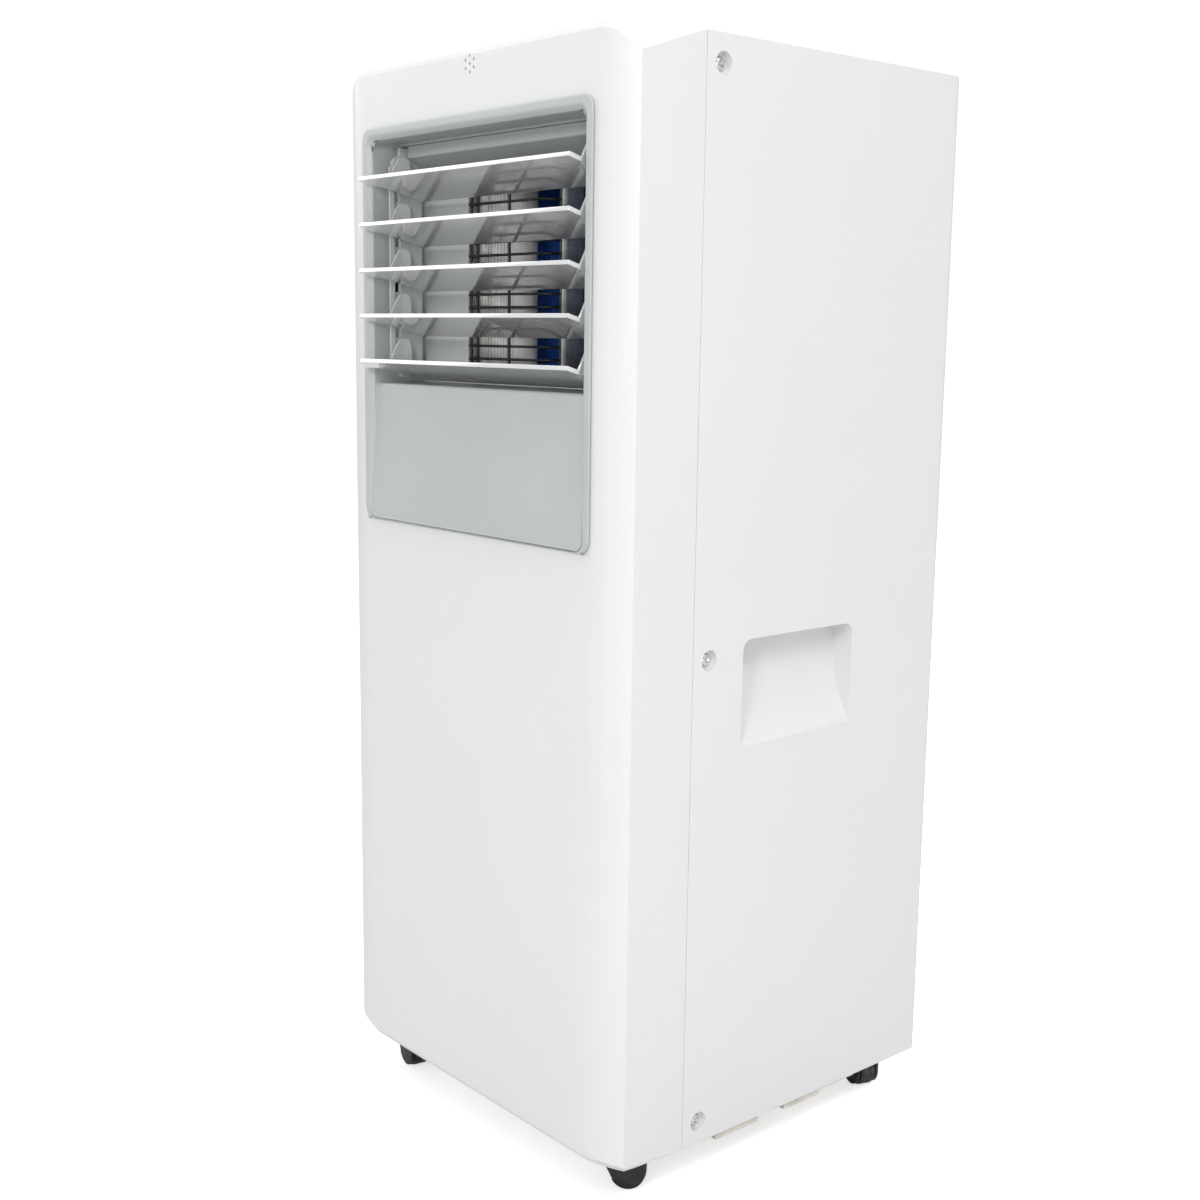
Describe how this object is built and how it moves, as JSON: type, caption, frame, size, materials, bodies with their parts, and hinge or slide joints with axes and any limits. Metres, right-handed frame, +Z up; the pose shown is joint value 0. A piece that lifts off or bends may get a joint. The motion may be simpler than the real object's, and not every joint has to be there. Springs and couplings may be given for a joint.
{
  "type": "portable air conditioner",
  "caption": "Tall portable air conditioner on swivel casters with a louvred front air outlet, top control panel, side handles and rear exhaust collar.",
  "frame": {"origin": "on the floor under the casters, at the middle of the footprint", "axes": "+Z up along the cabinet, front with the air outlet towards -Y, +X to the right seen from the front"},
  "size_m": [0.282, 0.302, 0.6757],
  "materials": {
    "shell_white": "satin moulded plastic, off white",
    "panel_white": "smooth satin panel",
    "display_black": "smoked gloss lens",
    "circuit_board": "green solder mask",
    "outlet_grey": "satin moulded plastic, light grey",
    "link_grey": "semi translucent pale plastic",
    "louvre_white": "glossy moulded plastic",
    "button_white": "satin button cap",
    "guard_black": "black dipped wire",
    "blower_off_white": "off white moulded plastic",
    "tray_off_white": "off white moulded plastic",
    "motor_zinc": "zinc plated steel",
    "coil_blue": "blue coated fins",
    "fan_black": "moulded",
    "compressor_black": "black enamel",
    "pipe_copper": "drawn copper",
    "base_beige": "moulded, pale beige",
    "filter_mesh": "nylon mesh",
    "rubber_black": "soft black",
    "caster_black": "black nylon",
    "wheel_black": "hard black tread",
    "screw_steel": "bright plated steel"
  },
  "bodies": {
    "root": {"front_shell": "shell_white", "rear_shell": "shell_white", "top_panel": "panel_white", "display_lens": "display_black", "control_board": "circuit_board", "air_outlet_frame": "outlet_grey", "outlet_back_wall": "outlet_grey", "louvre_bracket_left": "link_grey", "louvre_bracket_right": "link_grey", "finger_guard": "guard_black", "blower_frame": "link_grey", "blower_motor": "motor_zinc", "drip_tray": "tray_off_white", "evaporator": "coil_blue", "exhaust_fan_housing": "tray_off_white", "exhaust_fan_motor": "motor_zinc", "compressor": "compressor_black", "accumulator": "compressor_black", "discharge_pipe": "pipe_copper", "suction_pipe": "pipe_copper", "condenser": "coil_blue", "capacitor_box": "motor_zinc", "base_pan": "base_beige", "exhaust_collar": "shell_white", "cord_gland": "rubber_black", "side_screw_right_1": "screw_steel", "side_screw_right_2": "screw_steel", "side_screw_right_3": "screw_steel", "side_screw_left_1": "screw_steel", "side_screw_left_2": "screw_steel", "side_screw_left_3": "screw_steel"},
    "louvre_5": {"louvre_blade_5": "louvre_white"},
    "louvre_4": {"louvre_blade_4": "louvre_white"},
    "louvre_3": {"louvre_blade_3": "louvre_white"},
    "louvre_2": {"louvre_blade_2": "louvre_white"},
    "louvre_1": {"louvre_blade_1": "louvre_white"},
    "louvre_link": {"louvre_link_bar": "link_grey"},
    "blower": {"blower_wheel": "blower_off_white"},
    "exhaust_fan": {"exhaust_fan_wheel": "fan_black"},
    "power": {"power_button": "button_white"},
    "mode": {"mode_button": "button_white"},
    "fan_speed": {"fan_speed_button": "button_white"},
    "temperature_down": {"temperature_down_button": "button_white"},
    "temperature_up": {"temperature_up_button": "button_white"},
    "timer": {"timer_button": "button_white"},
    "sleep": {"sleep_button": "button_white"},
    "upper_grille": {"upper_intake_grille": "shell_white", "upper_filter": "filter_mesh"},
    "lower_grille": {"lower_intake_grille": "shell_white", "lower_filter": "filter_mesh"},
    "upper_plug": {"upper_drain_plug": "rubber_black"},
    "lower_plug": {"lower_drain_plug": "rubber_black"},
    "caster_front_right": {"caster_housing_front_right": "caster_black"},
    "wheel_front_right": {"caster_wheel_front_right": "wheel_black"},
    "caster_front_left": {"caster_housing_front_left": "caster_black"},
    "wheel_front_left": {"caster_wheel_front_left": "wheel_black"},
    "caster_back_right": {"caster_housing_back_right": "caster_black"},
    "wheel_back_right": {"caster_wheel_back_right": "wheel_black"},
    "caster_back_left": {"caster_housing_back_left": "caster_black"},
    "wheel_back_left": {"caster_wheel_back_left": "wheel_black"}
  },
  "joints": [
    {"name": "louvre_5_tilt", "type": "hinge", "parent": "root", "child": "louvre_5", "pos_m": [0, -0.12318, 0.504], "axis": [1, 0, 0], "range_deg": [-62, 20]},
    {"name": "louvre_4_tilt", "type": "hinge", "parent": "root", "child": "louvre_4", "pos_m": [0, -0.12318, 0.5325], "axis": [1, 0, 0], "range_deg": [-62, 20]},
    {"name": "louvre_3_tilt", "type": "hinge", "parent": "root", "child": "louvre_3", "pos_m": [0, -0.12318, 0.561], "axis": [1, 0, 0], "range_deg": [-62, 20]},
    {"name": "louvre_2_tilt", "type": "hinge", "parent": "root", "child": "louvre_2", "pos_m": [0, -0.12318, 0.5895], "axis": [1, 0, 0], "range_deg": [-62, 20]},
    {"name": "louvre_1_tilt", "type": "hinge", "parent": "root", "child": "louvre_1", "pos_m": [0, -0.12318, 0.618], "axis": [1, 0, 0], "range_deg": [-62, 20]},
    {"name": "louvre_link_pivot", "type": "hinge", "parent": "louvre_5", "child": "louvre_link", "pos_m": [-0.0983, -0.13018, 0.498], "axis": [1, 0, 0], "range_deg": [-20, 62]},
    {"name": "blower_spin", "type": "hinge", "parent": "root", "child": "blower", "pos_m": [-0.083, -0.0624, 0.55], "axis": [0, 0, 1], "continuous": true},
    {"name": "exhaust_fan_spin", "type": "hinge", "parent": "root", "child": "exhaust_fan", "pos_m": [0, 0.08, 0.325], "axis": [0, 1, 0], "continuous": true},
    {"name": "power_press", "type": "slide", "parent": "root", "child": "power", "axis": [0, 0, -1], "range_m": [0, 0.0013], "stiffness_N_per_m": 250},
    {"name": "mode_press", "type": "slide", "parent": "root", "child": "mode", "axis": [0, 0, -1], "range_m": [0, 0.0013], "stiffness_N_per_m": 250},
    {"name": "fan_speed_press", "type": "slide", "parent": "root", "child": "fan_speed", "axis": [0, 0, -1], "range_m": [0, 0.0013], "stiffness_N_per_m": 250},
    {"name": "temperature_down_press", "type": "slide", "parent": "root", "child": "temperature_down", "axis": [0, 0, -1], "range_m": [0, 0.0013], "stiffness_N_per_m": 250},
    {"name": "temperature_up_press", "type": "slide", "parent": "root", "child": "temperature_up", "axis": [0, 0, -1], "range_m": [0, 0.0013], "stiffness_N_per_m": 250},
    {"name": "timer_press", "type": "slide", "parent": "root", "child": "timer", "axis": [0, 0, -1], "range_m": [0, 0.0013], "stiffness_N_per_m": 250},
    {"name": "sleep_press", "type": "slide", "parent": "root", "child": "sleep", "axis": [0, 0, -1], "range_m": [0, 0.0013], "stiffness_N_per_m": 250},
    {"name": "upper_grille_pull", "type": "slide", "parent": "root", "child": "upper_grille", "axis": [0, 1, 0], "range_m": [0, 0.03]},
    {"name": "lower_grille_pull", "type": "slide", "parent": "root", "child": "lower_grille", "axis": [0, 1, 0], "range_m": [0, 0.03]},
    {"name": "upper_plug_pull", "type": "slide", "parent": "root", "child": "upper_plug", "axis": [0, 1, 0], "range_m": [0, 0.02]},
    {"name": "lower_plug_pull", "type": "slide", "parent": "root", "child": "lower_plug", "axis": [0, 1, 0], "range_m": [0, 0.02]},
    {"name": "caster_front_right_swivel", "type": "hinge", "parent": "root", "child": "caster_front_right", "pos_m": [0.11, -0.112, 0.028], "axis": [0, 0, 1], "continuous": true},
    {"name": "caster_front_right_roll", "type": "hinge", "parent": "caster_front_right", "child": "wheel_front_right", "pos_m": [0.11636, -0.10564, 0.01136], "axis": [-0.7071, 0.7071, 0], "continuous": true},
    {"name": "caster_front_left_swivel", "type": "hinge", "parent": "root", "child": "caster_front_left", "pos_m": [-0.11, -0.112, 0.028], "axis": [0, 0, 1], "continuous": true},
    {"name": "caster_front_left_roll", "type": "hinge", "parent": "caster_front_left", "child": "wheel_front_left", "pos_m": [-0.10114, -0.11356, 0.01136], "axis": [0.1736, 0.9848, 0], "continuous": true},
    {"name": "caster_back_right_swivel", "type": "hinge", "parent": "root", "child": "caster_back_right", "pos_m": [0.11, 0.112, 0.028], "axis": [0, 0, 1], "continuous": true},
    {"name": "caster_back_right_roll", "type": "hinge", "parent": "caster_back_right", "child": "wheel_back_right", "pos_m": [0.11846, 0.10892, 0.01136], "axis": [0.342, 0.9397, 0], "continuous": true},
    {"name": "caster_back_left_swivel", "type": "hinge", "parent": "root", "child": "caster_back_left", "pos_m": [-0.11, 0.112, 0.028], "axis": [0, 0, 1], "continuous": true},
    {"name": "caster_back_left_roll", "type": "hinge", "parent": "caster_back_left", "child": "wheel_back_left", "pos_m": [-0.10221, 0.1165, 0.01136], "axis": [-0.5, 0.866, 0], "continuous": true}
  ],
  "couplings": [
    {"joint": "louvre_4_tilt", "follows": "louvre_5_tilt", "ratio": 1},
    {"joint": "louvre_3_tilt", "follows": "louvre_5_tilt", "ratio": 1},
    {"joint": "louvre_2_tilt", "follows": "louvre_5_tilt", "ratio": 1},
    {"joint": "louvre_1_tilt", "follows": "louvre_5_tilt", "ratio": 1},
    {"joint": "louvre_link_pivot", "follows": "louvre_5_tilt", "ratio": -1}
  ]
}
